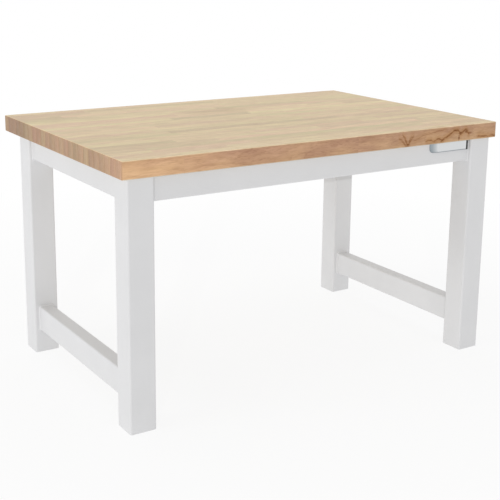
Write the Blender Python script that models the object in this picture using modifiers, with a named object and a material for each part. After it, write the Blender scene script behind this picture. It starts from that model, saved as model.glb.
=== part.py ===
"""Heavy work bench: a laminated maple top on a welded frame of square and rectangular steel tube.

Units are metres. +Z is up, +X runs along the bench and -Y is its front.
The origin is on the floor, under the middle of the top.
"""

import math

import bmesh
import bpy

# Driving sizes of the laminated top
TOP_LENGTH = 1.500
TOP_DEPTH = 0.980
TOP_THICKNESS = 0.057
BENCH_HEIGHT = 0.865
STAVE_ROWS = 25
GLUE_LINE = 0.0003
EDGE_EASE = 0.003

# How far the top stands out past the legs
END_OVERHANG = 0.020
FRONT_OVERHANG = 0.010
REAR_OVERHANG = 0.090

# Square leg tube and the plate that closes its foot
LEG_SIZE = 0.090
LEG_WALL = 0.004
LEG_RADIUS = 0.006
FOOT_PLATE_THICKNESS = 0.006

# Rectangular tube of the four rails under the top
RAIL_WIDTH = 0.060
RAIL_HEIGHT = 0.080
RAIL_WALL = 0.003
RAIL_RADIUS = 0.005

# Rectangular tube of the two low stretchers, and their height above the floor
STRETCHER_WIDTH = 0.050
STRETCHER_HEIGHT = 0.090
STRETCHER_WALL = 0.003
STRETCHER_RADIUS = 0.005
STRETCHER_CLEARANCE = 0.085

# Fillet weld round each tube end: its leg length, and the step left at its toe
WELD_SIZE = 0.0055
WELD_TOE = 0.0004

# Tabs on the rails' inner faces that the top is screwed down to
TAB_LENGTH = 0.060
TAB_REACH = 0.042
TAB_THICKNESS = 0.005
TAB_RADIUS = 0.010
TAB_FROM_LEG = 0.200
TAB_HOLE = 0.0095
TAB_HOLE_REACH = 0.023
TAB_SLOT_RUN = 0.008

# Lag screws with a hexagon head and a flange
SCREW_DIAMETER = 0.008
SCREW_BITE = 0.034
SCREW_POINT = 0.006
FLANGE_DIAMETER = 0.019
FLANGE_THICKNESS = 0.0018
HEAD_ACROSS_CORNERS = 0.0144
HEAD_HEIGHT = 0.0055

# Blank plate on the front rail, and the dark strip at its right end
PLATE_LENGTH = 0.168
PLATE_HEIGHT = 0.034
PLATE_DEPTH = 0.009
PLATE_ROLL = 0.030
PLATE_EASE = 0.0015
PLATE_DROP = 0.003
STRIP_WIDTH = 0.007
STRIP_EASE = 0.001
STRIP_TO_WELD = 0.0045

# Clearance between pieces that touch, how far cutters overrun, and facets in a round
FIT_GAP = 0.0003
CUT_OVERRUN = 0.020
CORNER_STEPS = 4
ROUND_STEPS = 16

# Sizes and places that follow from the driving sizes
FRAME_LENGTH = TOP_LENGTH - 2 * END_OVERHANG
FRAME_DEPTH = TOP_DEPTH - FRONT_OVERHANG - REAR_OVERHANG
TOP_UNDERSIDE = BENCH_HEIGHT - TOP_THICKNESS
FRAME_TOP = TOP_UNDERSIDE - FIT_GAP
LEG_X = FRAME_LENGTH / 2 - LEG_SIZE / 2
FRONT_LEG_Y = -TOP_DEPTH / 2 + FRONT_OVERHANG + LEG_SIZE / 2
REAR_LEG_Y = TOP_DEPTH / 2 - REAR_OVERHANG - LEG_SIZE / 2
FRAME_MIDDLE_Y = (FRONT_LEG_Y + REAR_LEG_Y) / 2
LONG_RAIL_LENGTH = FRAME_LENGTH - 2 * LEG_SIZE - 2 * FIT_GAP
END_RAIL_LENGTH = FRAME_DEPTH - 2 * LEG_SIZE - 2 * FIT_GAP
RAIL_Z = FRAME_TOP - RAIL_HEIGHT / 2
STRETCHER_Z = STRETCHER_CLEARANCE + STRETCHER_HEIGHT / 2
STAVE_PITCH = (TOP_DEPTH + GLUE_LINE) / STAVE_ROWS
STAVE_WIDTH = STAVE_PITCH - GLUE_LINE
TAB_OFFSET = RAIL_WIDTH / 2 + FIT_GAP
TAB_UNDERSIDE = FRAME_TOP - TAB_THICKNESS

QUARTER_TURN = math.pi / 2


for old in list(bpy.data.objects):
    bpy.data.objects.remove(old, do_unlink=True)

parts = bpy.data.collections.new("work_bench")
cutters = bpy.data.collections.new("work_bench_cutters")
for group in (parts, cutters):
    bpy.context.scene.collection.children.link(group)

bench = bpy.data.objects.new("work_bench_origin", None)
parts.objects.link(bench)


def finish(name, colour, roughness, metallic=0.0):
    """A Principled material with one linear colour."""
    material = bpy.data.materials.new(name)
    material.use_nodes = True
    shader = material.node_tree.nodes["Principled BSDF"]
    shader.inputs["Base Color"].default_value = (*colour, 1.0)
    shader.inputs["Roughness"].default_value = roughness
    shader.inputs["Metallic"].default_value = metallic
    material.diffuse_color = (*colour, 1.0)
    return material


POWDER_COAT = finish("pale_grey_powder_coat", (0.79, 0.79, 0.78), 0.45)
MAPLE = finish("oiled_maple", (0.66, 0.52, 0.33), 0.50)
ZINC = finish("zinc_plated_steel", (0.62, 0.63, 0.64), 0.35, metallic=1.0)
ALUMINIUM = finish("satin_aluminium", (0.72, 0.73, 0.74), 0.30, metallic=1.0)
BLACK_PLASTIC = finish("black_plastic", (0.012, 0.012, 0.012), 0.45)


def add_part(name, data, material):
    """Links a mesh or curve as one named part under the bench's origin."""
    part = bpy.data.objects.new(name, data)
    parts.objects.link(part)
    part.parent = bench
    data.materials.append(material)
    return part


def add_cutter(name, mesh, carrier):
    """Links a mesh that only shapes its carrier, and moves with it."""
    tool = bpy.data.objects.new(name, mesh)
    cutters.objects.link(tool)
    tool.parent = carrier
    tool.hide_render = True
    tool.display_type = "WIRE"
    return tool


def combine(part, tool, operation):
    """Adds a Boolean modifier that unites, cuts or trims the part with the tool."""
    boolean = part.modifiers.new(tool.name, "BOOLEAN")
    boolean.operation = operation
    boolean.solver = "EXACT"
    boolean.object = tool


def mesh_from(form, name, smooth_below=None):
    """Turns a bmesh into a mesh, shaded smooth below an angle where one is given."""
    mesh = bpy.data.meshes.new(name)
    form.to_mesh(mesh)
    form.free()
    if smooth_below is not None:
        mesh.shade_smooth()
        mesh.set_sharp_from_angle(angle=smooth_below)
    return mesh


def box_form(length, width, height):
    """A bmesh box centred on its own origin."""
    form = bmesh.new()
    bmesh.ops.create_cube(form, size=1.0)
    bmesh.ops.scale(form, vec=(length, width, height), verts=form.verts)
    return form


def round_edges(form, edges, radius, steps):
    """Rounds the given edges of a bmesh."""
    bmesh.ops.bevel(
        form, geom=edges, offset=radius, segments=steps, profile=0.5, affect="EDGES", clamp_overlap=True
    )


def bar_form(length, width, height, radius):
    """A bar along X with its four long edges rounded, as rolled tube has them."""
    form = box_form(length, width, height)
    long_edges = [e for e in form.edges if abs(e.verts[0].co.x - e.verts[1].co.x) > length / 2]
    round_edges(form, long_edges, radius, CORNER_STEPS)
    return form


def bar_mesh(name, length, width, height, radius):
    return mesh_from(bar_form(length, width, height, radius), name, math.radians(35))


def box_tube(name, length, width, height, wall, radius):
    """A length of tube along its own X, open at both ends."""
    raw_length = length + 2 * CUT_OVERRUN
    tube = add_part(name, bar_mesh(name, raw_length, width, height, radius), POWDER_COAT)
    bore_radius = max(radius - wall, wall / 4)
    bore_mesh = bar_mesh(
        name + "_bore", raw_length + CUT_OVERRUN, width - 2 * wall, height - 2 * wall, bore_radius
    )
    return tube, add_cutter(name + "_bore", bore_mesh, tube)


def trim_ends(tube, length, width, height):
    """Saws the tube, and whatever was joined to it, square at its true length."""
    reach = 2 * CUT_OVERRUN + 2 * WELD_SIZE
    saw_mesh = mesh_from(box_form(length, width + reach, height + reach), tube.name + "_ends")
    combine(tube, add_cutter(tube.name + "_ends", saw_mesh, tube), "INTERSECT")


def weld_mesh(name, width, height, radius, wall, ground_top):
    """A fillet weld as a collar round a tube's end, its outer rim rounded down to the tube.

    The collar lies across the sawn end, which later cuts it flat against the leg. Under the worktop its
    upper side stays inside the tube's wall, where the real weld is ground flush.
    """
    top_side = -wall / 2 if ground_top else WELD_SIZE
    collar_height = height + WELD_SIZE + top_side
    form = bar_form(2 * WELD_SIZE, width + 2 * WELD_SIZE, collar_height, radius + WELD_SIZE)
    rim = [e for e in form.edges if all(v.co.x < -WELD_SIZE / 2 for v in e.verts)]
    round_edges(form, rim, WELD_SIZE - WELD_TOE, CORNER_STEPS - 1)
    bmesh.ops.translate(form, vec=(0, 0, (top_side - WELD_SIZE) / 2), verts=form.verts)
    return mesh_from(form, name, math.radians(35))


def welded_tube(name, length, width, height, wall, radius, ground_top):
    """A tube with a fillet weld round each end, sawn flat where it meets the legs."""
    tube, bore = box_tube(name, length, width, height, wall, radius)
    for end, turn in (("first", math.pi), ("second", 0.0)):
        weld_name = name + "_weld_" + end
        weld = add_cutter(weld_name, weld_mesh(weld_name, width, height, radius, wall, ground_top), tube)
        weld.location.x = math.cos(turn) * length / 2
        weld.rotation_euler.z = turn
        combine(tube, weld, "UNION")
    combine(tube, bore, "DIFFERENCE")
    trim_ends(tube, length, width, height)
    return tube


def add_leg(name, x, y):
    """A square tube from the floor to the top, with a steel plate set flush into its foot."""
    leg, bore = box_tube(name, FRAME_TOP, LEG_SIZE, LEG_SIZE, LEG_WALL, LEG_RADIUS)
    combine(leg, bore, "DIFFERENCE")
    trim_ends(leg, FRAME_TOP, LEG_SIZE, LEG_SIZE)
    leg.location = (x, y, FRAME_TOP / 2)
    leg.rotation_euler.y = -QUARTER_TURN

    plate_name = name.replace("leg", "foot_plate")
    plate_side = LEG_SIZE - 2 * LEG_WALL - 2 * FIT_GAP
    plate_radius = max(LEG_RADIUS - LEG_WALL, LEG_WALL / 4)
    plate_mesh = bar_mesh(plate_name, FOOT_PLATE_THICKNESS, plate_side, plate_side, plate_radius)
    plate = add_part(plate_name, plate_mesh, POWDER_COAT)
    plate.location = (x, y, FOOT_PLATE_THICKNESS / 2)
    plate.rotation_euler.y = -QUARTER_TURN


for end_name, end_x in (("left", -LEG_X), ("right", LEG_X)):
    add_leg("leg_front_" + end_name, end_x, FRONT_LEG_Y)
    add_leg("leg_rear_" + end_name, end_x, REAR_LEG_Y)

    end_rail = welded_tube(
        "end_rail_" + end_name, END_RAIL_LENGTH, RAIL_WIDTH, RAIL_HEIGHT, RAIL_WALL, RAIL_RADIUS, ground_top=True
    )
    end_rail.location = (end_x, FRAME_MIDDLE_Y, RAIL_Z)
    end_rail.rotation_euler.z = QUARTER_TURN

    stretcher = welded_tube(
        "stretcher_" + end_name,
        END_RAIL_LENGTH,
        STRETCHER_WIDTH,
        STRETCHER_HEIGHT,
        STRETCHER_WALL,
        STRETCHER_RADIUS,
        ground_top=False,
    )
    stretcher.location = (end_x, FRAME_MIDDLE_Y, STRETCHER_Z)
    stretcher.rotation_euler.z = QUARTER_TURN

for side_name, side_y in (("front", FRONT_LEG_Y), ("rear", REAR_LEG_Y)):
    long_rail = welded_tube(
        "rail_" + side_name, LONG_RAIL_LENGTH, RAIL_WIDTH, RAIL_HEIGHT, RAIL_WALL, RAIL_RADIUS, ground_top=True
    )
    long_rail.location = (0, side_y, RAIL_Z)


def cylinder_form(diameter, depth, steps):
    """A bmesh cylinder along Z, turned half a facet so that no corner lies on X or Y."""
    form = bmesh.new()
    bmesh.ops.create_cone(
        form, cap_ends=True, segments=steps, radius1=diameter / 2, radius2=diameter / 2, depth=depth
    )
    half_facet = math.pi / steps
    for vert in form.verts:
        x, y = vert.co.x, vert.co.y
        vert.co.x = x * math.cos(half_facet) - y * math.sin(half_facet)
        vert.co.y = x * math.sin(half_facet) + y * math.cos(half_facet)
    return form


def add_tab(name, slot_run):
    """A plate whose root meets a rail at y = 0, with its free corners rounded and a hole or slot for a screw."""
    form = box_form(TAB_LENGTH, TAB_REACH, TAB_THICKNESS)
    bmesh.ops.translate(form, vec=(0, TAB_REACH / 2, -TAB_THICKNESS / 2), verts=form.verts)
    free_corners = [
        e
        for e in form.edges
        if all(v.co.y > TAB_REACH / 2 for v in e.verts) and abs(e.verts[0].co.x - e.verts[1].co.x) < TAB_LENGTH / 2
        and abs(e.verts[0].co.z - e.verts[1].co.z) > TAB_THICKNESS / 2
    ]
    round_edges(form, free_corners, TAB_RADIUS, CORNER_STEPS)
    tab = add_part(name, mesh_from(form, name, math.radians(35)), POWDER_COAT)

    hole_form = cylinder_form(TAB_HOLE, 2 * TAB_THICKNESS + 2 * CUT_OVERRUN, ROUND_STEPS)
    for vert in hole_form.verts:
        vert.co.y += math.copysign(slot_run / 2, vert.co.y)
    hole = add_cutter(name + "_hole", mesh_from(hole_form, name + "_hole"), tab)
    hole.location.y = TAB_HOLE_REACH
    combine(tab, hole, "DIFFERENCE")
    return tab


def add_screw(name):
    """A lag screw at its own origin, where its flange bears on the tab: a turned shank and a hexagon head."""
    tip = TOP_UNDERSIDE + SCREW_BITE - (TAB_UNDERSIDE - FIT_GAP)
    profile = (
        (0, tip),
        (SCREW_DIAMETER / 2, tip - SCREW_POINT),
        (SCREW_DIAMETER / 2, 0),
        (FLANGE_DIAMETER / 2, 0),
        (FLANGE_DIAMETER / 2, -FLANGE_THICKNESS),
        (0, -FLANGE_THICKNESS),
    )
    mesh = bpy.data.meshes.new(name)
    links = [(i, i + 1) for i in range(len(profile) - 1)]
    mesh.from_pydata([(r, 0, z) for r, z in profile], links, [])
    screw = add_part(name, mesh, ZINC)
    turn = screw.modifiers.new("turned", "SCREW")
    turn.steps = ROUND_STEPS
    turn.render_steps = ROUND_STEPS
    turn.use_merge_vertices = True
    turn.merge_threshold = 0.00005
    turn.use_smooth_shade = False

    head_form = cylinder_form(HEAD_ACROSS_CORNERS, HEAD_HEIGHT + FLANGE_THICKNESS / 2, 6)
    head_middle = -FLANGE_THICKNESS / 2 - (HEAD_HEIGHT + FLANGE_THICKNESS / 2) / 2
    bmesh.ops.translate(head_form, vec=(0, 0, head_middle), verts=head_form.verts)
    head = add_cutter(name + "_head", mesh_from(head_form, name + "_head"), screw)
    combine(screw, head, "UNION")
    return screw


def fixing_places():
    """Each tab's name, root point in plan, turn about Z, and slot run.

    The long rails' tabs are slotted across the grain, so the top can shrink and swell. The end rails' tabs have
    round holes, which hold the middle of the top where it is.
    """
    places = []
    outer = LONG_RAIL_LENGTH / 2 - TAB_FROM_LEG
    for number, along in enumerate((-outer, 0.0, outer), start=1):
        places.append((f"front_{number}", (along, FRONT_LEG_Y + TAB_OFFSET), 0.0, TAB_SLOT_RUN))
        places.append((f"rear_{number}", (along, REAR_LEG_Y - TAB_OFFSET), math.pi, TAB_SLOT_RUN))
    places.append(("left", (-LEG_X + TAB_OFFSET, FRAME_MIDDLE_Y), -QUARTER_TURN, 0.0))
    places.append(("right", (LEG_X - TAB_OFFSET, FRAME_MIDDLE_Y), QUARTER_TURN, 0.0))
    return places


screw_places = []
for place_name, (root_x, root_y), turn_z, slot_run in fixing_places():
    tab = add_tab("top_tab_" + place_name, slot_run)
    tab.location = (root_x, root_y, FRAME_TOP)
    tab.rotation_euler.z = turn_z
    screw_x = root_x - math.sin(turn_z) * TAB_HOLE_REACH
    screw_y = root_y + math.cos(turn_z) * TAB_HOLE_REACH
    lag_screw = add_screw("lag_screw_" + place_name)
    lag_screw.location = (screw_x, screw_y, TAB_UNDERSIDE - FIT_GAP)
    screw_places.append((place_name, screw_x, screw_y))


def stave_mesh(name, is_front, is_rear):
    """One full-length stave. Its ends are eased, and so is the long side that is an outer side of the top."""
    form = box_form(TOP_LENGTH, STAVE_WIDTH, TOP_THICKNESS)
    side_reach = STAVE_WIDTH / 2 - EDGE_EASE / 2
    end_reach = TOP_LENGTH / 2 - EDGE_EASE / 2

    def is_outer(edge):
        first, second = (v.co for v in edge.verts)
        if is_front and first.y < -side_reach and second.y < -side_reach:
            return True
        if is_rear and first.y > side_reach and second.y > side_reach:
            return True
        at_one_end = abs(first.x) > end_reach and abs(first.x - second.x) < TOP_LENGTH / 2
        return at_one_end and abs(first.z - second.z) < TOP_THICKNESS / 2

    round_edges(form, [e for e in form.edges if is_outer(e)], EDGE_EASE, CORNER_STEPS - 1)
    return mesh_from(form, name, math.radians(35))


PILOT_DIAMETER = SCREW_DIAMETER + 2 * FIT_GAP
PILOT_DEPTH = SCREW_BITE + FIT_GAP

for row in range(STAVE_ROWS):
    stave_name = f"top_stave_{row + 1:02d}"
    stave_y = -TOP_DEPTH / 2 + STAVE_WIDTH / 2 + row * STAVE_PITCH
    stave = add_part(stave_name, stave_mesh(stave_name, row == 0, row == STAVE_ROWS - 1), MAPLE)
    stave.location = (0, stave_y, TOP_UNDERSIDE + TOP_THICKNESS / 2)
    for place_name, screw_x, screw_y in screw_places:
        if abs(screw_y - stave_y) < (STAVE_WIDTH + PILOT_DIAMETER) / 2:
            pilot_name = stave_name + "_pilot_" + place_name
            pilot_form = cylinder_form(PILOT_DIAMETER, 2 * PILOT_DEPTH, ROUND_STEPS)
            pilot = add_cutter(pilot_name, mesh_from(pilot_form, pilot_name), stave)
            pilot.location = (screw_x, screw_y - stave_y, -TOP_THICKNESS / 2)
            combine(stave, pilot, "DIFFERENCE")


def plate_outline():
    """The blank plate seen from above: flat front, square right end, left end rolled back to the rail."""
    roll_start = -PLATE_LENGTH + PLATE_ROLL
    points = [(0.0, 0.0), (-PLATE_LENGTH, 0.0)]
    steps = 2 * CORNER_STEPS
    for step in range(1, steps + 1):
        angle = QUARTER_TURN * step / steps
        points.append((roll_start - PLATE_ROLL * math.cos(angle), -PLATE_DEPTH * math.sin(angle)))
    points.append((0.0, -PLATE_DEPTH))
    return points


def add_blank_plate(right_x, back_y, middle_z):
    """The plain plate on the front rail, its outline extruded upwards and its edges eased."""
    outline = bpy.data.curves.new("blank_plate", "CURVE")
    outline.dimensions = "2D"
    outline.fill_mode = "BOTH"
    outline.extrude = PLATE_HEIGHT / 2
    points = plate_outline()
    spline = outline.splines.new("POLY")
    spline.points.add(len(points) - 1)
    for point, (x, y) in zip(spline.points, points):
        point.co = (x, y, 0, 1)
    spline.use_cyclic_u = True
    plate = add_part("blank_plate", outline, ALUMINIUM)
    plate.location = (right_x, back_y, middle_z)
    weld = plate.modifiers.new("joined_caps", "WELD")
    weld.merge_threshold = 0.00005
    ease = plate.modifiers.new("eased_edges", "BEVEL")
    ease.width = PLATE_EASE
    ease.segments = 2
    ease.limit_method = "ANGLE"
    ease.angle_limit = math.radians(50)


def add_end_strip(left_x, back_y, middle_z):
    """The dark strip that closes the plate's right end."""
    form = box_form(STRIP_WIDTH, PLATE_DEPTH, PLATE_HEIGHT)
    round_edges(form, list(form.edges), STRIP_EASE, 2)
    strip = add_part("plate_end_strip", mesh_from(form, "plate_end_strip", math.radians(35)), BLACK_PLASTIC)
    strip.location = (left_x + STRIP_WIDTH / 2, back_y - PLATE_DEPTH / 2, middle_z)


rail_face_y = FRONT_LEG_Y - RAIL_WIDTH / 2 - FIT_GAP
plate_middle_z = TOP_UNDERSIDE - PLATE_DROP - PLATE_HEIGHT / 2
strip_left_x = LONG_RAIL_LENGTH / 2 - WELD_SIZE - STRIP_TO_WELD - STRIP_WIDTH
add_blank_plate(strip_left_x - FIT_GAP, rail_face_y, plate_middle_z)
add_end_strip(strip_left_x, rail_face_y, plate_middle_z)
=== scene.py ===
"""A heavy work bench as it looks: a laminated maple top on a welded, powder-coated frame of steel tube.

Units are metres, in the frame of the solids: +X along the bench, -Y its front, +Z up, the floor at zero.
"""

import math

import bpy
import numpy as np
from mathutils import Matrix, Vector


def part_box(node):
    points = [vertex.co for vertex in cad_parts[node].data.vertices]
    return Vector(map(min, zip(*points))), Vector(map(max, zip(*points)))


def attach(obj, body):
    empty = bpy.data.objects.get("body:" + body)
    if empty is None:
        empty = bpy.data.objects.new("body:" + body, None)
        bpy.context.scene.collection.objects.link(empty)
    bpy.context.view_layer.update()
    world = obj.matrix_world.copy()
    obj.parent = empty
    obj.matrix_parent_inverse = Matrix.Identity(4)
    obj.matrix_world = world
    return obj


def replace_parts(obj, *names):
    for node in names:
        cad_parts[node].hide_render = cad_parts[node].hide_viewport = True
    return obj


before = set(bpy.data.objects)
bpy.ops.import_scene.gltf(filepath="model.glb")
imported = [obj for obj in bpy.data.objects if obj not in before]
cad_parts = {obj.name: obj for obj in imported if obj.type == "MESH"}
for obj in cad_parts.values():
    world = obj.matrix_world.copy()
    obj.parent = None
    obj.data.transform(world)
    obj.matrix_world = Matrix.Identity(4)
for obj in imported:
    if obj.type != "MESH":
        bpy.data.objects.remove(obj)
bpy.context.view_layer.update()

# Legs
# Four lengths of square steel tube with rolled corners, sawn square and lightly deburred at both ends.
# They stand on the floor and carry the top. The frame is powder coated in one go after it is welded.
LEG_NODES = ("leg_front_left", "leg_front_right", "leg_rear_left", "leg_rear_right")
LEG_WALL = 0.004
LEG_RADIUS = 0.006
SAWN_EDGE = 0.0006
FLAT_MARGIN = 0.002
CORNER_STEPS = 6
# A rounded corner's points: both ends of every step, and one more on the flat at either side
CORNER_POINTS = CORNER_STEPS + 3
# Rows are the directions along a bar, across it and, for a bar that lies level, up it
BAR_DIRECTIONS = {
    "x": np.array([[1, 0, 0], [0, 1, 0], [0, 0, 1]]),
    "y": np.array([[0, 1, 0], [-1, 0, 0], [0, 0, 1]]),
    "z": np.array([[0, 0, 1], [1, 0, 0], [0, 1, 0]]),
}


def linear(hex_colour):
    """An sRGB hex colour as linear red, green, blue and a full alpha."""
    parts = np.array([int(hex_colour[i : i + 2], 16) for i in (1, 3, 5)]) / 255
    light = np.where(parts <= 0.04045, parts / 12.92, ((parts + 0.055) / 1.055) ** 2.4)
    return (*light.tolist(), 1.0)


def fill(tree, node, inputs):
    """Gives each listed input of a node its value or its link.

    An input goes by its name, or by its number where that is shorter or a node's names repeat. Map Range
    reads the range set at inputs 1 and 2 and gives the range set at 3 and 4, each nought to one if left
    out. Mix takes its share at 0 and two colours at 6 and 7, or two numbers at 2 and 3.
    """
    for name, value in dict(inputs).items():
        if isinstance(value, bpy.types.NodeSocket):
            tree.links.new(value, node.inputs[name])
        else:
            node.inputs[name].default_value = value


def add_node(tree, kind, inputs=(), output=None, **settings):
    """Adds a node with its settings and inputs, and returns the output asked for or the first in use."""
    node = tree.nodes.new("ShaderNode" + kind)
    for name, value in settings.items():
        setattr(node, name, value)
    fill(tree, node, inputs)
    if output:
        return node.outputs[output]
    return next(socket for socket in node.outputs if socket.enabled)


def new_finish(name):
    """A new material, its node tree and its Principled shader."""
    material = bpy.data.materials.new(name)
    material.use_nodes = True
    tree = material.node_tree
    return material, tree, tree.nodes["Principled BSDF"]


def powder_coat():
    """Polyester powder, sprayed and baked on steel.

    It is one even pale grey with a faint cloudiness where the film varies. A fine orange peel softens
    every reflection, and the sheen is satin.
    """
    cloud_size = 0.140
    peel_size = 0.0035
    peel_depth = 0.00004
    least_rough, most_rough = 0.40, 0.50
    pale, grey = linear("#E0E0E1"), linear("#D7D7D8")
    material, tree, shader = new_finish("pale_grey_powder_coat")
    place = add_node(tree, "TexCoord", output="Object")
    cloud = add_node(tree, "TexNoise", {"Vector": place, "Scale": 1 / cloud_size, "Detail": 3.0})
    colour = add_node(tree, "Mix", {0: cloud, 6: grey, 7: pale}, data_type="RGBA")
    sheen = add_node(tree, "MapRange", {"Value": cloud, 3: least_rough, 4: most_rough})
    # Real orange peel has waves of 1 to 2 mm; they are drawn at twice that so that they still show
    peel = add_node(tree, "TexNoise", {"Vector": place, "Scale": 1 / peel_size, "Detail": 1.0})
    bump = add_node(tree, "Bump", {"Height": peel, "Strength": 0.5, "Distance": peel_depth})
    fill(tree, shader, {"Base Color": colour, "Roughness": sheen, "Normal": bump, "IOR": 1.5})
    return material


POWDER_COAT = powder_coat()


def rounded_loops(low, high, radii):
    """Rectangles with rounded corners, one for each row of low and high, counter-clockwise.

    Each corner is a quarter circle about the point one radius in from its two sides. A point on the flat
    before and after each quarter keeps the flat's shading flat. Also gives each point's outward direction.
    """
    turn = np.linspace(0, math.pi / 2, CORNER_STEPS + 1)
    turn = np.concatenate([turn[:1], turn, turn[-1:]]) + np.arange(4)[:, None] * math.pi / 2
    outward = np.stack([np.cos(turn), np.sin(turn)], -1)
    slide = np.zeros(CORNER_POINTS)
    slide[[0, -1]] = -FLAT_MARGIN, FLAT_MARGIN
    onto_flat = np.stack([-outward[..., 1], outward[..., 0]], -1) * slide[:, None]
    is_high = np.array([[1, 1], [0, 1], [0, 0], [1, 0]], bool)
    inset = radii[:, :, None]
    middle = np.where(is_high, high[:, None] - inset, low[:, None] + inset)
    corners = middle[:, :, None] + inset[..., None] * outward + onto_flat
    return corners.reshape(len(low), -1, 2), outward.reshape(-1, 2)


def along_bar(axis, along, section):
    """Points of a bar from their distance along it and their two places in its section."""
    along = np.broadcast_to(along, section.shape[:-1])
    return np.concatenate([along[..., None], section], -1) @ BAR_DIRECTIONS[axis]


def centre_and_reach(axis, middle, half):
    """A bar's middle and half size, measured along it, across it and up it."""
    directions = BAR_DIRECTIONS[axis]
    return directions @ np.array(middle), np.abs(directions) @ np.array(half)


def cover(name, shells, closed, material, crease=40.0):
    """One mesh over shells, each a run of rings of points.

    Four-sided faces join each ring to the next. A closed run joins its last ring to its first, and an
    open run has a flat face over each end. Edges sharper than the crease angle stay sharp.
    """
    points, faces, start = [], [], 0
    for rings in shells:
        index = np.arange(rings.shape[0] * rings.shape[1]).reshape(rings.shape[:2]) + start
        start += index.size
        run = np.vstack([index, index[:1]]) if closed else index
        beside = np.roll(run, -1, axis=1)
        quads = np.stack([run[:-1], beside[:-1], beside[1:], run[1:]], -1)
        faces += quads.reshape(-1, 4).tolist()
        if not closed:
            faces += [index[0, ::-1].tolist(), index[-1].tolist()]
        points.append(rings.reshape(-1, 3))
    mesh = bpy.data.meshes.new(name)
    mesh.from_pydata(np.concatenate(points).tolist(), [], faces)
    mesh.materials.append(material)
    mesh.shade_smooth()
    mesh.set_sharp_from_angle(angle=math.radians(crease))
    piece = bpy.data.objects.new(name, mesh)
    bpy.context.scene.collection.objects.link(piece)
    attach(piece, "root")
    return piece


def tube(name, axis, middle, half, wall, radius):
    """A tube as one closed skin: out along its outside, over its sawn edge, back along its bore.

    Each ring is the tube's rounded rectangle, drawn in by the edge's deburring or by the wall.
    """
    centre, reach = centre_and_reach(axis, middle, half)
    edge, margin, end = SAWN_EDGE, FLAT_MARGIN, reach[0]
    along = np.array([-end, edge - end, margin - end, end - margin, end - edge, end, end, -end])
    drawn_in = np.array([edge, 0, 0, 0, 0, edge, wall, wall])[:, None]
    least_corner = radius / 6
    corner = np.maximum(radius - drawn_in, least_corner) * np.ones(4)
    low, high = centre[1:] - reach[1:] + drawn_in, centre[1:] + reach[1:] - drawn_in
    section, _ = rounded_loops(low, high, corner)
    rings = along_bar(axis, centre[0] + along[:, None], section)
    return cover(name, [rings], True, POWDER_COAT)


def box_corners(node):
    """The low and the high corner of a node's box."""
    low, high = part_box(node)
    return np.array(low), np.array(high)


def box_middle_and_half(node):
    """A node's middle point and half its size each way."""
    low, high = box_corners(node)
    return (low + high) / 2, (high - low) / 2


for node in LEG_NODES:
    leg_middle, leg_half = box_middle_and_half(node)
    leg = tube(node + "_tube", "z", leg_middle, leg_half, LEG_WALL, LEG_RADIUS)
    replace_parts(leg, node)


# Foot plates
# A steel plate is set flush into each leg's lower end and closes the tube where it meets the floor.
# They are coated with the frame, and their solids already have the right shape.
def finish_solid(node, material):
    """Gives a solid that already has the right shape its finish."""
    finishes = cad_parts[node].data.materials
    finishes.clear()
    finishes.append(material)


for node in LEG_NODES:
    finish_solid(node.replace("leg", "foot_plate"), POWDER_COAT)


# Rails and stretchers
# Rectangular steel tube: four rails stand under the edges of the top, and a low stretcher joins the legs
# at each end. Each is cut to fit between two legs, on their middle line, and welded all round.
BAR_WALL = 0.003
BAR_RADIUS = 0.005
WELD_SIZE = 0.0055
WELD_GAP = 0.0003
RAIL_AXES = {"rail_front": "x", "rail_rear": "x", "end_rail_left": "y", "end_rail_right": "y"}
BAR_AXES = {**RAIL_AXES, "stretcher_left": "y", "stretcher_right": "y"}


def bare_bar(node, axis, ground_top):
    """The middle and half size of a bar without the welds round its ends, grown to touch the legs.

    A weld stands out at both sides of a bar and below it, and above it too unless it is ground there.
    """
    middle, half = box_middle_and_half(node)
    along, across, up = np.abs(BAR_DIRECTIONS[axis])
    below, above = WELD_SIZE, 0.0 if ground_top else WELD_SIZE
    half = half + along * WELD_GAP - across * WELD_SIZE - up * (below + above) / 2
    return middle + up * (below - above) / 2, half


bars = {}
for node, axis in BAR_AXES.items():
    bars[node] = bare_bar(node, axis, node in RAIL_AXES)
    bar = tube(node + "_tube", axis, *bars[node], BAR_WALL, BAR_RADIUS)
    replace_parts(bar, node)


# Fillet welds
# A bead of weld metal fills the corner where each bar meets a leg. It is laid in small overlapping pools,
# which leave ripples under the coat. Under the top it is ground away, so there it has three sides.
BEAD_SPACING = 0.0005
BEAD_STEPS = 9
BEAD_FULLNESS = 1.35
BEAD_ROOT = 0.0006
# From pool to pool, how far a pool swells the bead, the level of its arch at which the bead has its plain
# size, and how many pools the middle of the section lags by
POOL_PITCH = 0.0034
POOL_DEPTH = 0.10
POOL_LEVEL = 0.7
POOL_LAG = 0.45
# The slower sway of the hand: its depth, its two wave lengths, and its turn for each metre along the bench
SWAY_DEPTH = 0.03
SWAY_LONG = 0.047
SWAY_SHORT = 0.031
SWAY_TURN = 40


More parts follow.
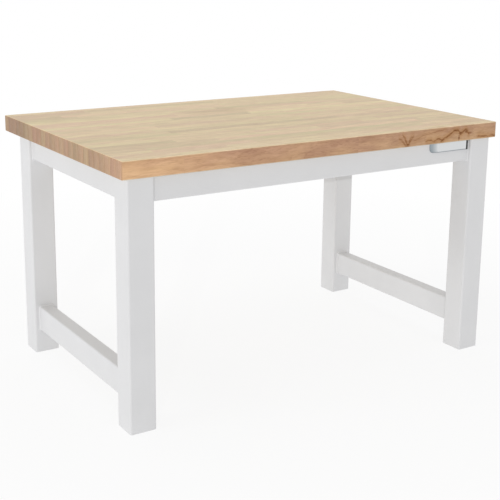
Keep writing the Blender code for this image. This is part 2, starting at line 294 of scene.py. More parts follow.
def weld_bead(name, axis, middle, half, side, three_sided):
    """A rippled bead round one end of a bar.

    Its section is a rounded fillet between the leg's face and the bar. Along the bar's outline its size
    follows an arch of sine for each pool, later in the middle of the section than at its edges, and the
    sum of two slower sines.
    """
    centre, reach = centre_and_reach(axis, middle, half)
    low, high = (centre - reach)[None, 1:], (centre + reach)[None, 1:]
    loop, outward = rounded_loops(low, high, np.full((1, 4), BAR_RADIUS))
    loop = np.vstack([loop[0], loop[0, :1]])
    outward = np.vstack([outward, outward[:1]])
    travelled = np.concatenate([[0], np.cumsum(np.linalg.norm(np.diff(loop, axis=0), axis=1))])
    # A three-sided bead starts just below the second upper corner and ends just below the first
    first = travelled[2 * CORNER_POINTS - 1] if three_sided else 0.0
    count = round((travelled[-1] - first) / BEAD_SPACING)
    path = np.linspace(first, travelled[-1], count, endpoint=three_sided)
    base = np.stack([np.interp(path, travelled, loop[:, i]) for i in (0, 1)], -1)
    facing = np.stack([np.interp(path, travelled, outward[:, i]) for i in (0, 1)], -1)
    facing /= np.linalg.norm(facing, axis=1)[:, None]

    angle = np.linspace(0, math.pi / 2, BEAD_STEPS)
    pool = np.abs(np.sin(math.pi * (path[:, None] / POOL_PITCH + POOL_LAG * np.sin(2 * angle))))
    long_sway = np.sin(path * 2 * math.pi / SWAY_LONG)
    short_sway = np.sin(path * 2 * math.pi / SWAY_SHORT + middle[0] * SWAY_TURN)
    sway = (long_sway + short_sway)[:, None]
    size = WELD_SIZE * (1 + POOL_DEPTH * (pool - POOL_LEVEL) + SWAY_DEPTH * sway)
    out = size * np.cos(angle) ** (2 / BEAD_FULLNESS)
    back = size * np.sin(angle) ** (2 / BEAD_FULLNESS)
    root = np.full((count, 1), -BEAD_ROOT)
    out = np.hstack([out, root, root])
    back = np.hstack([back, back[:, -1:], root])
    section = base[:, None] + out[..., None] * facing[:, None]
    rings = along_bar(axis, centre[0] + side * (reach[0] - back), section)
    if side < 0:
        rings = rings[:, ::-1]
    bead = cover(name, [rings], not three_sided, POWDER_COAT, crease=60.0)


for node, axis in BAR_AXES.items():
    for side, side_name in ((-1, "first"), (1, "second")):
        weld_bead(f"{node}_weld_{side_name}", axis, *bars[node], side, node in RAIL_AXES)


# Tabs
# Small plates welded to the rails' inner faces, under the top, with a slot or hole for a screw each.
# They are coated with the frame. Their solids already have the right shape.
FIXING_PLACES = ("front_1", "front_2", "front_3", "rear_1", "rear_2", "rear_3", "left", "right")
for place in FIXING_PLACES:
    finish_solid("top_tab_" + place, POWDER_COAT)


# Lag screws
# Hexagon-headed wood screws with a pressed flange, zinc plated. They go up through the tabs and hold the
# top down. The thread is rolled, so it stands proud of the shank's core.
SCREW_STEPS = 48
SCREW_CORE = 0.0029
SCREW_OUTER = 0.0040
SHANK_START = 0.0005
SHANK_PLAIN = 0.010
THREAD_PITCH = 0.0032
THREAD_RINGS = 96
THREAD_SHARPNESS = 3
POINT_LENGTH = 0.007
POINT_BLUNT = 0.03
FLANGE_RADIUS = 0.0095
FLANGE_EDGE = 0.0009
FLANGE_RISE = 0.0018
FLANGE_SLOPE = 0.0022
HEAD_HALF_FLATS = 0.00625
HEAD_HEIGHT = 0.0055
HEAD_CHAMFER = 0.0009
# The chamfer cone at the head's end, at the chamfer's other edge and at the flange, in half flats
HEAD_CONE = (0.95, 1.17, 1.17)


def zinc_plate():
    """Bright zinc plating on steel: a thin bluish-silver skin with a faint mottle from the bath."""
    mottle_size = 0.004
    least_rough, most_rough = 0.26, 0.40
    dull, bright = linear("#B4B9BF"), linear("#D2D5D8")
    material, tree, shader = new_finish("bright_zinc_plating")
    place = add_node(tree, "TexCoord", output="Object")
    mottle = add_node(tree, "TexNoise", {"Vector": place, "Scale": 1 / mottle_size, "Detail": 2.0})
    colour = add_node(tree, "Mix", {0: mottle, 6: dull, 7: bright}, data_type="RGBA")
    gloss = add_node(tree, "MapRange", {"Value": mottle, 3: least_rough, 4: most_rough})
    fill(tree, shader, {"Base Color": colour, "Roughness": gloss, "Metallic": 1.0})
    return material


ZINC_PLATE = zinc_plate()


def lag_screw(name, x, y, seat, tip):
    """A lag screw about an upright axis, its radius a function of height and of angle.

    The head's radius is the smaller of a hexagon's and a chamfer cone's, the flange's falls to its edge,
    and the thread's is the core's plus a ridge that climbs one pitch a turn and fades out at the point.
    """
    angle = np.linspace(0, 2 * math.pi, SCREW_STEPS, endpoint=False)
    wedge = (angle + math.pi / 6) % (math.pi / 3) - math.pi / 6
    hexagon = HEAD_HALF_FLATS / np.cos(wedge)
    head_base = seat - FLANGE_RISE
    head_end = head_base - HEAD_HEIGHT
    head_z = np.array([head_end, head_end + HEAD_CHAMFER, head_base])
    cone = HEAD_HALF_FLATS * np.array(HEAD_CONE)
    head = np.minimum(hexagon, cone[:, None])
    flange_z = np.array([head_base, seat - FLANGE_EDGE, seat, seat])
    flange = np.array([FLANGE_RADIUS - FLANGE_SLOPE, FLANGE_RADIUS, FLANGE_RADIUS, SCREW_OUTER])
    shank_z = np.array([seat + SHANK_START, seat + SHANK_PLAIN])
    shank = np.array([SCREW_OUTER, SCREW_OUTER])
    thread_z = np.linspace(seat + SHANK_PLAIN, tip, THREAD_RINGS)
    climb = (thread_z[:, None] / THREAD_PITCH - angle / (2 * math.pi)) % 1
    ridge = np.abs(climb * 2 - 1) ** THREAD_SHARPNESS
    taper = np.clip((tip - thread_z) / POINT_LENGTH, POINT_BLUNT, 1)[:, None]
    thread = (SCREW_CORE + (SCREW_OUTER - SCREW_CORE) * ridge) * taper
    around = np.ones(SCREW_STEPS)
    radius = np.vstack([head, flange[:, None] * around, shank[:, None] * around, thread])
    height = np.concatenate([head_z, flange_z, shank_z, thread_z])
    flat = np.stack([x + radius * np.cos(angle), y + radius * np.sin(angle)], -1)
    rings = along_bar("z", height[:, None], flat)
    screw = cover(name, [rings], False, ZINC_PLATE, crease=30.0)
    return screw


for place in FIXING_PLACES:
    node = "lag_screw_" + place
    screw_low, screw_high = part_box(node)
    seat_height = screw_low.z + HEAD_HEIGHT + FLANGE_RISE
    screw_x, screw_y = ((screw_low + screw_high) / 2).xy
    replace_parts(lag_screw(node + "_turned", screw_x, screw_y, seat_height, screw_high.z), node)


# Laminated top
# Twenty-five rows of hard maple staves, glued face to face and sanded flush. Each row is several shorter
# staves butted end to end, of slightly different colour. The outer edges are eased, and all but the
# underside is oiled. Screws hold it down to the tabs.
STAVE_ROWS = 25
TOP_EASE = 0.003
EASE_STEPS = 5
GLUE_EDGE = 0.00012
# Rings between a board's ends: two on a plain one, more in the front row, whose colour changes along it
PLAIN_RINGS = 2
FRONT_RINGS = 24
# The boards are drawn by chance from one seed: where a row's first joint may lie, how long its boards may
# be, and the shortest that may end it
BOARD_SEED = 11
FIRST_JOINT = (0.14, 0.60)
BOARD_SPAN = (0.30, 0.72)
SHORTEST_BOARD = 0.12
# Each board is cut from its own place along this length of wood. The staves are flat-sawn boards set on
# edge, so their pith lies to the front or the back of them.
GRAIN_LENGTH = 40
PITH_DISTANCE = (0.05, 0.16)
PITH_LEAN = 0.30
# How much boards differ, from pink to yellow and from dark to light, and how the ends darken to the back
TONE_SPREAD = 0.42
LIGHT_SPREAD = 0.23
END_FADE = 1.30
# The front row's butt joints, its tone and lightness at places along it, how much warmer its foot is, and
# how far behind it its pith lies
FRONT_JOINTS = (-0.545, 0.115, 0.640)
FRONT_PLACES = (-0.75, -0.62, -0.50, -0.40, -0.10, 0.20, 0.45, 0.625, 0.655, 0.75)
FRONT_TONES = (0.75, 0.65, 0.30, -0.15, -0.35, -0.20, 0.20, 0.25, 0.30, 0.25)
FRONT_LIGHTS = (0.25, 0.22, 0.10, -0.10, -0.40, -0.60, -0.75, -0.70, -0.75, -0.85)
FRONT_WARMTH = 0.35
FRONT_PITH = 0.075
# The tone and lightness of its upper and lower faces, and the tone of its ends
FRONT_FACE_TONE = 0.25
FRONT_FACE_LIGHT = 0.30
FRONT_END_TONE = -0.40
# Its boards from this number on, counted from nought, are knotty. Dark lines of curled grain run there:
# places along it, heights, half thickness and depth.
FIRST_KNOTTY_BOARD = 2
CURLS = (
    ((0.286, 0.308, 0.330, 0.346, 0.362), (0.842, 0.829, 0.811, 0.834, 0.848), 0.0070, 0.60),
    ((0.302, 0.316, 0.331, 0.341, 0.350), (0.855, 0.837, 0.813, 0.834, 0.850), 0.0055, 0.60),
    ((0.312, 0.322, 0.332, 0.337, 0.343), (0.846, 0.832, 0.814, 0.828, 0.839), 0.0055, 0.80),
    ((0.345, 0.385, 0.430, 0.475, 0.520), (0.822, 0.838, 0.847, 0.853, 0.856), 0.0030, 0.40),
    ((0.405, 0.430, 0.450, 0.475, 0.500), (0.820, 0.824, 0.819, 0.825, 0.813), 0.0036, 0.80),
    ((0.475, 0.495, 0.530, 0.557, 0.580), (0.813, 0.822, 0.839, 0.850, 0.835), 0.0046, 1.00),
    ((0.568, 0.583, 0.600, 0.610, 0.622), (0.833, 0.838, 0.848, 0.838, 0.828), 0.0050, 1.00),
    ((0.650, 0.680, 0.705, 0.730, 0.760), (0.819, 0.818, 0.815, 0.816, 0.813), 0.0042, 0.78),
)
# Knots among them: place along it, height, and reach along and up. They run far into the wood.
KNOTS = (
    (0.332, 0.816, 0.011, 0.007),
    (0.576, 0.837, 0.012, 0.008),
    (0.604, 0.842, 0.011, 0.010),
    (0.620, 0.835, 0.013, 0.006),
    (0.569, 0.822, 0.005, 0.015),
)
KNOT_RUN = 10.0
# Brown mineral stain in the top: its middle and its reach along, across and down
STAIN_MIDDLE = (-0.02, 0.215, 0.865)
STAIN_REACH = (0.24, 0.075, 1.0)


def maple():
    """Hard maple, sanded and oiled.

    The wood is drawn as growth rings about each board's own pith, so that faces, edges and ends agree.
    Long streaks, fine fibres and short flecks run along the board. The sanded top is pale, partly as a
    painted sheen, the oiled edges are warmer, and end grain drinks oil and is the darkest. The eased upper
    edges take a paler painted highlight, and the bare underside is pale and greyer. Curls and knots are
    dark lines and hearts.
    """
    # The length, width and depth of one streak of each noise, its detail, and a twist that bends it
    noises = {
        "drift": ((0.130, 0.042, 0.042), 2.0, 0.3),
        "streak": ((0.075, 0.0110, 0.0110), 3.0, 0.4),
        "fibre": ((0.055, 0.0022, 0.0022), 2.0, 0.0),
        "fleck": ((0.016, 0.0026, 0.0026), 1.0, 0.0),
        "end_streak": ((0.100, 0.0055, 0.090), 2.0, 0.0),
        "wander": ((0.160, 0.050, 0.050), 1.0, 0.0),
    }
    # Most of a noise lies between these two levels
    noise_low, noise_high = 0.30, 0.70
    fibre_depth = 0.00006
    ring_width = 0.0046
    ring_sharpness = 3.0
    wander_depth = 0.016
    wobble_size = 0.014
    wobble_depth = 0.004
    curl_spacing = 0.0056
    glow_reach = 0.020
    # The part of a curl's thickness, of a knot and of the stain that is at full strength, and the part of
    # a curl's run over which it fades in or out
    curl_core, knot_core, stain_core = 0.4, 0.3, 0.2
    run_fade = 0.12
    # How strongly each colours the wood
    year_depth, curl_depth, glow_depth, stain_depth = 0.55, 0.95, 0.70, 0.55
    ring_side, ring_top = 0.20, 0.10
    fleck_side, fleck_top = 0.42, 0.16
    fleck_yellow = 0.25
    # Strength of the painted highlight on the eased upper edges
    painted_highlight_depth = 0.8
    drift_depth = 0.5
    material, tree, shader = new_finish("oiled_maple")
    place = add_node(tree, "TexCoord", output="Object")
    shift = add_node(tree, "Attribute", output="Vector", attribute_name="board_shift")
    tone = add_node(tree, "Attribute", output="Fac", attribute_name="board_tone")
    light = add_node(tree, "Attribute", output="Fac", attribute_name="board_light")
    knotty = add_node(tree, "Attribute", output="Fac", attribute_name="knotty")
    facing = add_node(tree, "Attribute", output="Fac", attribute_name="sanded_face")
    sanded = add_node(tree, "Math", {0: facing}, operation="ABSOLUTE")
    bare = add_node(tree, "MapRange", {"Value": facing, 1: 0.0, 2: -1.0})
    cut = add_node(tree, "Attribute", output="Fac", attribute_name="end_grain")
    moved = add_node(tree, "VectorMath", {0: place, 1: shift}, operation="ADD")
    grain = {}
    for name, (size, detail, twist) in noises.items():
        scale = tuple(1 / side for side in size)
        stretched = add_node(tree, "Mapping", {"Vector": moved, "Scale": scale})
        inputs = {"Vector": stretched, "Scale": 1.0, "Detail": detail, "Distortion": twist}
        grain[name] = add_node(tree, "TexNoise", inputs)

    # Growth rings: the distance from the board's pith line, waved as the grain wanders
    across = add_node(tree, "VectorMath", {0: moved, 1: (0.0, 1.0, 1.0)}, operation="MULTIPLY")
    pith = add_node(tree, "VectorMath", {0: across}, operation="LENGTH")
    inputs = {0: grain["wander"], 1: wander_depth, 2: pith}
    waved = add_node(tree, "Math", inputs, operation="MULTIPLY_ADD")
    turns = add_node(tree, "Math", {0: waved, 1: ring_width}, operation="DIVIDE")
    saw = add_node(tree, "Math", {0: turns}, operation="FRACT")
    late_wood = add_node(tree, "Math", {0: saw, 1: ring_sharpness}, operation="POWER")

    # Curled grain: a dark line at a drawn height along the board, in a glow of warmer wood, with the
    # fainter lines of the years before and after beside it
    along = add_node(tree, "SeparateXYZ", {0: place}, output="X")
    height = add_node(tree, "SeparateXYZ", {0: place}, output="Z")
    wobble = add_node(tree, "TexNoise", {"Vector": place, "Scale": 1 / wobble_size, "Detail": 2.0})
    wobble = add_node(tree, "MapRange", {"Value": wobble, 3: -wobble_depth, 4: wobble_depth})
    wobbled = add_node(tree, "Math", {0: height, 1: wobble}, operation="ADD")
    dark = glow = 0.0
    for curl_places, curl_heights, thickness, depth in CURLS:
        start, end = curl_places[0], curl_places[-1]
        foot, head = min(curl_heights), max(curl_heights)
        run = add_node(tree, "MapRange", {"Value": along, 1: start, 2: end})
        path = add_node(tree, "ValToRGB", {0: run})
        ramp = path.node.color_ramp
        ramp.interpolation = "CARDINAL"
        for share in np.interp(curl_places[1:-1], (start, end), (0, 1)):
            ramp.elements.new(share)
        for stop, share in zip(ramp.elements, np.interp(curl_heights, (foot, head), (0, 1))):
            stop.color = (share, share, share, 1.0)
        level = add_node(tree, "MapRange", {"Value": path, 3: foot, 4: head})
        apart = add_node(tree, "Math", {0: wobbled, 1: level}, operation="SUBTRACT")
        apart = add_node(tree, "Math", {0: apart}, operation="ABSOLUTE")
        core = curl_core * thickness
        line = add_node(tree, "MapRange", {"Value": apart, 1: core, 2: thickness, 3: depth, 4: 0.0})
        warm = add_node(tree, "MapRange", {"Value": apart, 1: 0.0, 2: glow_reach, 3: depth, 4: 0.0})
        years = add_node(tree, "Math", {0: apart, 1: 2 * math.pi / curl_spacing}, operation="MULTIPLY")
        years = add_node(tree, "Math", {0: years}, operation="COSINE")
        years = add_node(tree, "MapRange", {"Value": years, 1: 0.2, 2: 1.0, 3: 0.0, 4: year_depth})
        years = add_node(tree, "Math", {0: years, 1: warm}, operation="MULTIPLY")
        line = add_node(tree, "Math", {0: line, 1: years}, operation="MAXIMUM")
        begun = add_node(tree, "MapRange", {"Value": run, 1: 0.0, 2: run_fade})
        ended = add_node(tree, "MapRange", {"Value": run, 1: 1.0, 2: 1 - run_fade})
        shown = add_node(tree, "Math", {0: begun, 1: ended}, operation="MULTIPLY")
        line = add_node(tree, "Math", {0: line, 1: shown}, operation="MULTIPLY")
        warm = add_node(tree, "Math", {0: warm, 1: shown}, operation="MULTIPLY")
        dark = add_node(tree, "Math", {0: dark, 1: line}, operation="MAXIMUM")
        glow = add_node(tree, "Math", {0: glow, 1: warm}, operation="MAXIMUM")

    # Each knot is a branch that runs out through the face. Flecks break up curls and knots.
    for knot_along, knot_height, reach_along, reach_up in KNOTS:
        middle, reach = (knot_along, 0.0, knot_height), (reach_along, KNOT_RUN, reach_up)
        off = add_node(tree, "VectorMath", {0: place, 1: middle}, operation="SUBTRACT")
        off = add_node(tree, "VectorMath", {0: off, 1: reach}, operation="DIVIDE")
        away = add_node(tree, "VectorMath", {0: off}, operation="LENGTH")
        heart = add_node(tree, "MapRange", {"Value": away, 1: knot_core, 2: 1.0, 3: 1.0, 4: 0.0})
        dark = add_node(tree, "Math", {0: dark, 1: heart}, operation="MAXIMUM")
    broken = add_node(tree, "MapRange", {"Value": grain["fleck"], 1: 0.35, 2: 0.60, 3: 0.5, 4: 1.0})
    dark = add_node(tree, "Math", {0: dark, 1: broken}, operation="MULTIPLY")
    dark = add_node(tree, "Math", {0: dark, 1: knotty}, operation="MULTIPLY")
    glow = add_node(tree, "Math", {0: glow, 1: knotty}, operation="MULTIPLY")

    # A stain in the top, strongest at its middle and broken up by the drift of the grain
    off = add_node(tree, "VectorMath", {0: place, 1: STAIN_MIDDLE}, operation="SUBTRACT")
    off = add_node(tree, "VectorMath", {0: off, 1: STAIN_REACH}, operation="DIVIDE")
    away = add_node(tree, "VectorMath", {0: off}, operation="LENGTH")
    stain = add_node(tree, "MapRange", {"Value": away, 1: stain_core, 2: 1.0, 3: stain_depth, 4: 0.0})
    stain = add_node(tree, "Math", {0: stain, 1: grain["drift"]}, operation="MULTIPLY")

    # Tone: pink or yellow from board to board, and drifting along each
    inputs = {"Value": grain["drift"], 1: noise_low, 2: noise_high, 3: -drift_depth, 4: drift_depth}
    drifted = add_node(tree, "MapRange", inputs)
    tone = add_node(tree, "Math", {0: tone, 1: drifted}, operation="ADD")
    tone = add_node(tree, "MapRange", {"Value": tone, 1: -1.0, 2: 1.0})
    toned = {}
    # The top's colours are paler partly because it is sanded and partly as a painted sheen
    for face, pink, yellow in (
        ("top", "#DABFA3", "#DACBA3"),
        ("side", "#C2967B", "#E0B78C"),
        ("end", "#C49C80", "#C0A480"),
        ("bare", "#D8CAB8", "#DCD3BE"),
    ):
        inputs = {0: tone, 6: linear(pink), 7: linear(yellow)}
        toned[face] = add_node(tree, "Mix", inputs, data_type="RGBA")
    body = toned["side"]
    for share, face in ((sanded, "top"), (bare, "bare"), (cut, "end")):
        body = add_node(tree, "Mix", {0: share, 6: body, 7: toned[face]}, data_type="RGBA")

    # The eased upper edges, which face partly up, get a paler painted highlight
    highlight_rise = add_node(tree, "MapRange", {"Value": facing, 1: 0.1, 2: 0.5, 3: 0.0, 4: painted_highlight_depth})
    highlight_fall = add_node(tree, "MapRange", {"Value": facing, 1: 0.98, 2: 0.8})
    painted_highlight_share = add_node(tree, "Math", {0: highlight_rise, 1: highlight_fall}, operation="MULTIPLY")

    # Late wood and flecks show more on the edges than on the sanded top, and flecks more on pink boards
    ring_share = add_node(tree, "MapRange", {"Value": sanded, 3: ring_side, 4: ring_top})
    ring_share = add_node(tree, "Math", {0: ring_share, 1: late_wood}, operation="MULTIPLY")
    fleck_depth = add_node(tree, "MapRange", {"Value": sanded, 3: fleck_side, 4: fleck_top})
    fleck_share = add_node(tree, "MapRange", {"Value": grain["fleck"], 1: 0.52, 2: 0.72})
    fleck_share = add_node(tree, "Math", {0: fleck_share, 1: fleck_depth}, operation="MULTIPLY")
    pinkness = add_node(tree, "MapRange", {"Value": tone, 3: 1.0, 4: fleck_yellow})
    fleck_share = add_node(tree, "Math", {0: fleck_share, 1: pinkness}, operation="MULTIPLY")
    glow = add_node(tree, "Math", {0: glow, 1: glow_depth}, operation="MULTIPLY")
    dark = add_node(tree, "Math", {0: dark, 1: curl_depth}, operation="MULTIPLY")
    for share, tint in (
        # Painted highlight on the eased upper edges
        (painted_highlight_share, "#F2DCB4"),
        (ring_share, "#93623C"),
        (fleck_share, "#8F5F42"),
        (stain, "#8E6F50"),
        (glow, "#C59055"),
        (dark, "#7E4406"),
    ):
        body = add_node(tree, "Mix", {0: share, 6: body, 7: linear(tint)}, data_type="RGBA")

    # Light and dark along the streaks and fibres, warmer where dark, and from board to board
    streaks = {}
    for name in ("streak", "end_streak"):
        inputs = {"Value": grain[name], 1: noise_low, 2: noise_high}
        streaks[name] = add_node(tree, "MapRange", inputs)
    inputs = {0: cut, 2: streaks["streak"], 3: streaks["end_streak"]}
    streak = add_node(tree, "Mix", inputs, data_type="FLOAT")
    deep, bright = (0.90, 0.87, 0.83, 1.0), (1.09, 1.10, 1.12, 1.0)
    shade = add_node(tree, "Mix", {0: streak, 6: deep, 7: bright}, data_type="RGBA")
    inputs = {"Value": grain["fibre"], 1: noise_low, 2: noise_high, 3: 0.94, 4: 1.05}
    fine = add_node(tree, "MapRange", inputs)
    of_board = add_node(tree, "MapRange", {"Value": light, 1: -2.0, 2: 1.0, 3: 0.55, 4: 1.18})
    fine = add_node(tree, "Math", {0: fine, 1: of_board}, operation="MULTIPLY")
    shade = add_node(tree, "VectorMath", {0: shade, "Scale": fine}, operation="SCALE")
    colour = add_node(tree, "VectorMath", {0: body, 1: shade}, operation="MULTIPLY")
    gloss = add_node(tree, "MapRange", {"Value": grain["streak"], 1: 0.2, 2: 0.8, 3: 0.46, 4: 0.62})
    bump = add_node(tree, "Bump", {"Height": grain["fibre"], "Strength": 0.35, "Distance": fibre_depth})
    fill(tree, shader, {"Base Color": colour, "Roughness": gloss, "Normal": bump})
    fill(tree, shader, {"IOR": 1.48, "Specular IOR Level": 0.3})
    return material


MAPLE = maple()


def board(low, high, outer, rings_between):
    """One stave as rings along its length, and how far each point is sanded face and end grain.

    At an outer end the rings draw in as a quarter circle does, which eases the edge; at a butt joint they
    draw in by a hair. The long edges are rounded alike: eased on an outer side, a hair elsewhere. The
    share of sanded face is one on the top, minus one on the underside, and nought on the sides and ends.
    """
    turn = np.linspace(0, math.pi / 2, EASE_STEPS)
    sides = ("left", "right", "front", "rear")
    left, right, front, rear = (TOP_EASE if side in outer else GLUE_EDGE for side in sides)
    left_x = low[0] + left * (1 - np.cos(turn))
    right_x = high[0] - right * (1 - np.cos(turn))
    along = np.linspace(low[0] + left + FLAT_MARGIN, high[0] - right - FLAT_MARGIN, rings_between)
    flat = np.zeros(rings_between)
    x = np.concatenate([left_x, along, right_x[::-1]])
    drawn_in = np.concatenate([left * (1 - np.sin(turn)), flat, right * (1 - np.sin(turn[::-1]))])
    end_share = np.concatenate([np.cos(turn), flat, np.cos(turn[::-1])])
    front_in = drawn_in if "front" in outer else np.minimum(drawn_in, GLUE_EDGE)
    rear_in = drawn_in if "rear" in outer else np.minimum(drawn_in, GLUE_EDGE)
    section_low = np.stack([low[1] + front_in, low[2] + drawn_in], -1)
    section_high = np.stack([high[1] - rear_in, high[2] - drawn_in], -1)
    least_corner = GLUE_EDGE / 4
    radii = np.maximum(np.array([rear, front, front, rear]) - drawn_in[:, None], least_corner)
    section, outward = rounded_loops(section_low, section_high, radii)
    rings = along_bar("x", x[:, None], section)
    sanded = outward[:, 1] * (1 - end_share[:, None])
    return rings, sanded.ravel(), np.broadcast_to(end_share[:, None], sanded.shape).ravel()


def front_tone_and_light(x, rise, sanded, end_grain):
    """The tone and lightness of the front row, from the distance along it and the share of its height.

    Both go in straight lines from place to place, and the tone also falls from the foot to the head. Upper
    and lower faces and ends take on their own values, as far as a point is face or end.
    """
    tone = np.interp(x, FRONT_PLACES, FRONT_TONES) + FRONT_WARMTH * (1 - 2 * rise)
    light = np.interp(x, FRONT_PLACES, FRONT_LIGHTS)
    level = np.abs(sanded)
    tone += level * (FRONT_FACE_TONE - tone) + end_grain * (FRONT_END_TONE - tone)
    light += level * (FRONT_FACE_LIGHT - light)
    return tone, light


def give(piece, name, values):
    """Stores one value, or one vector, for each point of a piece."""
    kind, field = ("FLOAT", "value") if values.ndim == 1 else ("FLOAT_VECTOR", "vector")
    attribute = piece.data.attributes.new(name, kind, "POINT")
    attribute.data.foreach_set(field, np.ascontiguousarray(values, np.float32).ravel())


draw = np.random.default_rng(BOARD_SEED)
for row in range(STAVE_ROWS):
    node = f"top_stave_{row + 1:02d}"
    row_low, row_high = box_corners(node)
    joints = list(FRONT_JOINTS)
    if row > 0:
        joints = [row_low[0] + draw.uniform(*FIRST_JOINT)]
        while joints[-1] < row_high[0] - BOARD_SPAN[0]:
            joints.append(joints[-1] + draw.uniform(*BOARD_SPAN))
        joints = [joint for joint in joints if joint < row_high[0] - SHORTEST_BOARD]
    ends = [row_low[0], *joints, row_high[0]]
    outer_side = {0: "front", STAVE_ROWS - 1: "rear"}.get(row)
    shells, traits = [], []
    for number, (start, stop) in enumerate(zip(ends[:-1], ends[1:])):
        outer = {outer_side, "left" if number == 0 else None, "right" if number == len(joints) else None}
        low, high = row_low.copy(), row_high.copy()
        low[0], high[0] = start, stop
        rings, sanded, end_grain = board(low, high, outer, PLAIN_RINGS if row else FRONT_RINGS)
        bearing = draw.normal(0, PITH_LEAN) + draw.choice([0, math.pi])
        reach = draw.uniform(*PITH_DISTANCE)
        tone, light = draw.normal(0, TONE_SPREAD), draw.normal(0, LIGHT_SPREAD)
        light = light - END_FADE * row / STAVE_ROWS * end_grain
        if row == 0:
            bearing, reach = 0.0, FRONT_PITH
            rise = (rings[..., 2].ravel() - low[2]) / (high[2] - low[2])
            tone, light = front_tone_and_light(rings[..., 0].ravel(), rise, sanded, end_grain)
        pith_y = (low[1] + high[1]) / 2 + reach * math.cos(bearing)
        pith_z = (low[2] + high[2]) / 2 + reach * math.sin(bearing)
        shift = np.array([draw.uniform(0, GRAIN_LENGTH), -pith_y, -pith_z])
        count = sanded.size
        shells.append(rings)
        traits.append({
            "sanded_face": sanded,
            "end_grain": end_grain,
            "board_shift": np.tile(shift, (count, 1)),
            "board_tone": np.broadcast_to(tone, count),
            "board_light": np.broadcast_to(light, count),
            "knotty": np.full(count, float(row == 0 and number >= FIRST_KNOTTY_BOARD)),
        })
    stave = cover(node + "_boards", shells, False, MAPLE)
    for name in traits[0]:
        give(stave, name, np.concatenate([of_board[name] for of_board in traits]))
    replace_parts(stave, node)


# Blank plate
# A plain aluminium plate stuck to the front rail under the top. Its left end is rolled back to the rail,
# its lower left corner is round and its lower edge is turned back. A black plastic strip closes its right
# end, and the strip's solid already has the right shape.
PLATE_ROLL = 0.030
PLATE_EASE = 0.0012
PLATE_LIP = 0.0045
PLATE_CORNER = 0.016
LIP_STEPS = 7
ROLL_STEPS = 16
# How soon the painted shade sets in round the roll and round the lip
ROLL_SHADE = 0.8
LIP_SHADE = 0.5


def satin_aluminium():
    """Aluminium sheet, brushed along its length and clear anodised.

    It is bright, with fine drawn-out scratches. A cooler, duller grey is painted in as shade where the
    rolled end and the lower lip turn away.
    """
    scratch_size = (0.040, 0.0009, 0.0009)
    scratch_depth = 0.00002
    least_rough, most_rough = 0.24, 0.40
    flat, shaded_grey = linear("#D6D8D9"), linear("#8E979D")
    material, tree, shader = new_finish("satin_aluminium")
    place = add_node(tree, "TexCoord", output="Object")
    roll_shade = add_node(tree, "Attribute", output="Fac", attribute_name="roll_shade")
    scale = tuple(1 / side for side in scratch_size)
    stretched = add_node(tree, "Mapping", {"Vector": place, "Scale": scale})
    lines = add_node(tree, "TexNoise", {"Vector": stretched, "Scale": 1.0, "Detail": 2.0})
    # Painted shade: a cooler, duller grey where the roll and the lip turn away
    colour = add_node(tree, "Mix", {0: roll_shade, 6: flat, 7: shaded_grey}, data_type="RGBA")
    gloss = add_node(tree, "MapRange", {"Value": lines, 3: least_rough, 4: most_rough})
    bump = add_node(tree, "Bump", {"Height": lines, "Strength": 0.3, "Distance": scratch_depth})
    fill(tree, shader, {"Base Color": colour, "Roughness": gloss, "Normal": bump, "Metallic": 1.0})
    return material


def black_plastic():
    """Moulded black ABS with a fine spark-eroded grain, so it is dull and a little uneven."""
    grain_size = 0.0008
    grain_depth = 0.00004
    black, grey = linear("#1E1F20"), linear("#2B2C2D")
    material, tree, shader = new_finish("black_moulded_plastic")
    place = add_node(tree, "TexCoord", output="Object")
    grain = add_node(tree, "TexNoise", {"Vector": place, "Scale": 1 / grain_size, "Detail": 1.0})
    colour = add_node(tree, "Mix", {0: grain, 6: black, 7: grey}, data_type="RGBA")
    bump = add_node(tree, "Bump", {"Height": grain, "Strength": 0.4, "Distance": grain_depth})
    fill(tree, shader, {"Base Color": colour, "Normal": bump, "Roughness": 0.5})
    return material


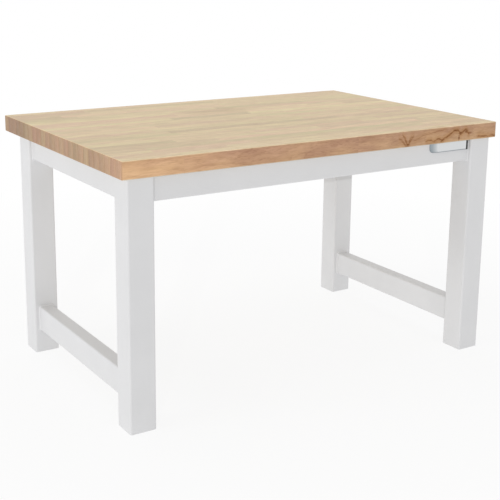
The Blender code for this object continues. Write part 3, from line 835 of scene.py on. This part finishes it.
def rolled_plate(low, high):
    """The plate as level rings, one above the other, and how much painted shade each point takes round its
    roll and its lip.

    In plan each ring runs round a quarter ellipse at the rolled left end, along the flat front, and back
    along the rail. Towards the lower edge the left end moves in as a quarter circle does and the front
    turns back round a lip, a smaller quarter circle. The upper and right edges are eased.
    """
    turn = np.linspace(0, math.pi / 2, LIP_STEPS)
    rise = np.unique(np.concatenate([size * (1 - np.cos(turn)) for size in (PLATE_LIP, PLATE_CORNER)]))
    moved_in = PLATE_CORNER - np.sqrt(PLATE_CORNER**2 - (PLATE_CORNER - rise) ** 2)
    lip_turn = np.clip(1 - rise / PLATE_LIP, 0, 1)
    turned_back = PLATE_LIP * (1 - np.sqrt(1 - lip_turn**2))
    z = np.concatenate([low[2] + rise, high[2] - PLATE_EASE * (1 - np.sin(turn))])
    eased = np.concatenate([turned_back, PLATE_EASE * (1 - np.cos(turn))])[:, None]
    straight = np.zeros_like(turn)
    moved_in = np.concatenate([moved_in, straight])[:, None]
    lip_turn = np.concatenate([lip_turn, straight])[:, None]
    bend = np.linspace(0, math.pi / 2, ROLL_STEPS)
    bend_x = low[0] + moved_in + PLATE_ROLL * (1 - np.cos(bend))
    bend_y = high[1] - (high[1] - low[1] - eased) * np.sin(bend)
    right_x = np.full_like(eased, high[0])
    front_x = np.hstack([right_x - PLATE_EASE, right_x, right_x])
    front_y = np.hstack([low[1] + eased, low[1] + eased + PLATE_EASE, np.full_like(eased, high[1])])
    x = np.hstack([bend_x, front_x])
    y = np.hstack([bend_y, front_y])
    # Painted shade, strongest where the roll turns back to the rail and round the turned lip
    roll_shade = np.maximum(np.concatenate([np.cos(bend) ** ROLL_SHADE, [0, 0, 0]]), lip_turn**LIP_SHADE)
    return along_bar("z", z[:, None], np.stack([x, y], -1)), roll_shade.ravel()


plate_rings, plate_roll_shade = rolled_plate(*box_corners("blank_plate"))
plate = cover("blank_plate_rolled", [plate_rings], False, satin_aluminium(), crease=35.0)
give(plate, "roll_shade", plate_roll_shade)
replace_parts(plate, "blank_plate")
finish_solid("plate_end_strip", black_plastic())


# Floor and light
# A lit white sheet for a floor, under an even white surround. A broad far lamp stands at the left, a soft
# one hangs overhead, and a small far one shines from beyond the camera. The floor keeps a faint shadow
# near the bench and is plain white further out.
FLOOR_REACH = 14.0
SURROUND = 0.62
WHITE = (1.0, 1.0, 1.0, 1.0)
# Each lamp's name, its place, the point it is aimed at, its width, its height and its power in watts
LAMPS = (
    ("left_lamp", (-14.0, 1.2, 4.4), (0, 0, 0.5), 6.0, 3.0, 355.0),
    ("overhead_lamp", (0.1, 0.9, 5.0), (0.1, 0.2, 0.8), 5.0, 5.0, 60.0),
    ("front_lamp", (-11.1, -14.85, 4.95), (0, 0, 0.5), 0.08, 0.08, 605.0),
)


def seen_share(tree):
    """One where white is seen, directly, in a reflection or through glass, and nought for other light."""
    seen = add_node(tree, "LightPath", output="Is Camera Ray")
    for kind in ("Is Glossy Ray", "Is Transmission Ray"):
        other = add_node(tree, "LightPath", output=kind)
        seen = add_node(tree, "Math", {0: seen, 1: other}, operation="MAXIMUM")
    return seen


def white_floor():
    """A matt white sheet, lit from beneath.

    It looks mostly plain white near the bench and altogether so further out. A part of that glow also
    lights the bench from below, as a lit sweep does in a studio.
    """
    near, far = 1.2, 2.8
    least_plain = 0.85
    glow = 0.80
    material, tree, shader = new_finish("matt_white_floor")
    place = add_node(tree, "TexCoord", output="Object")
    away = add_node(tree, "VectorMath", {0: place}, operation="LENGTH")
    plain_share = add_node(tree, "MapRange", {"Value": away, 1: near, 2: far, 3: least_plain, 4: 1.0})
    shown = add_node(tree, "MapRange", {"Value": seen_share(tree), 3: glow, 4: 1.0})
    share = add_node(tree, "Math", {0: shown, 1: plain_share}, operation="MULTIPLY")
    plain = add_node(tree, "Emission", {"Color": WHITE, "Strength": 1.0})
    mixed = add_node(tree, "MixShader", {0: share, 1: shader.outputs["BSDF"], 2: plain})
    fill(tree, tree.nodes["Material Output"], {"Surface": mixed})
    fill(tree, shader, {"Base Color": linear("#F7F7F7"), "Roughness": 0.9, "Specular IOR Level": 0.0})
    return material


floor_mesh = bpy.data.meshes.new("floor")
floor_corners = np.array([[-1, -1, 0], [1, -1, 0], [1, 1, 0], [-1, 1, 0]]) * FLOOR_REACH
floor_mesh.from_pydata(floor_corners.tolist(), [], [(0, 1, 2, 3)])
floor_mesh.materials.append(white_floor())
floor = bpy.data.objects.new("floor", floor_mesh)
bpy.context.scene.collection.objects.link(floor)

world = bpy.data.worlds.new("white_surround")
bpy.context.scene.world = world
world.use_nodes = True
surround = world.node_tree
strength = add_node(surround, "MapRange", {"Value": seen_share(surround), 3: SURROUND, 4: 1.0})
fill(surround, surround.nodes["Background"], {"Color": WHITE, "Strength": strength})

for name, lamp_place, aim, width, height, power in LAMPS:
    lamp = bpy.data.lights.new(name, "AREA")
    lamp.shape = "RECTANGLE"
    lamp.size, lamp.size_y = width, height
    lamp.energy = power
    holder = bpy.data.objects.new(name, lamp)
    holder.location = lamp_place
    holder.rotation_euler = (Vector(aim) - Vector(lamp_place)).to_track_quat("-Z", "Y").to_euler()
    bpy.context.scene.collection.objects.link(holder)


# Camera
# It stands to the left of the bench's front, a little above the top, with a long lens whose frame is slid
# down so that upright edges stay nearly parallel. Angles are its heading, downward tilt and roll.
CAMERA_PLACE = (-2.0065, -3.1348, 1.4568)
CAMERA_HEADING = math.radians(-32.666)
CAMERA_TILT = math.radians(13.008)
CAMERA_ROLL = math.radians(0.662)
CAMERA_SENSOR = 36.0
CAMERA_LENS = 74.28
CAMERA_SHIFT = -0.12

lens = bpy.data.cameras.new("camera")
lens.sensor_width = CAMERA_SENSOR
lens.lens = CAMERA_LENS
lens.shift_y = CAMERA_SHIFT
camera = bpy.data.objects.new("camera", lens)
heading = Matrix.Rotation(CAMERA_HEADING, 4, "Z")
tilt = Matrix.Rotation(math.pi / 2 - CAMERA_TILT, 4, "X")
roll = Matrix.Rotation(CAMERA_ROLL, 4, "Z")
camera.matrix_world = Matrix.Translation(CAMERA_PLACE) @ heading @ tilt @ roll
bpy.context.scene.collection.objects.link(camera)
bpy.context.scene.camera = camera
bpy.context.scene.view_settings.view_transform = "Standard"
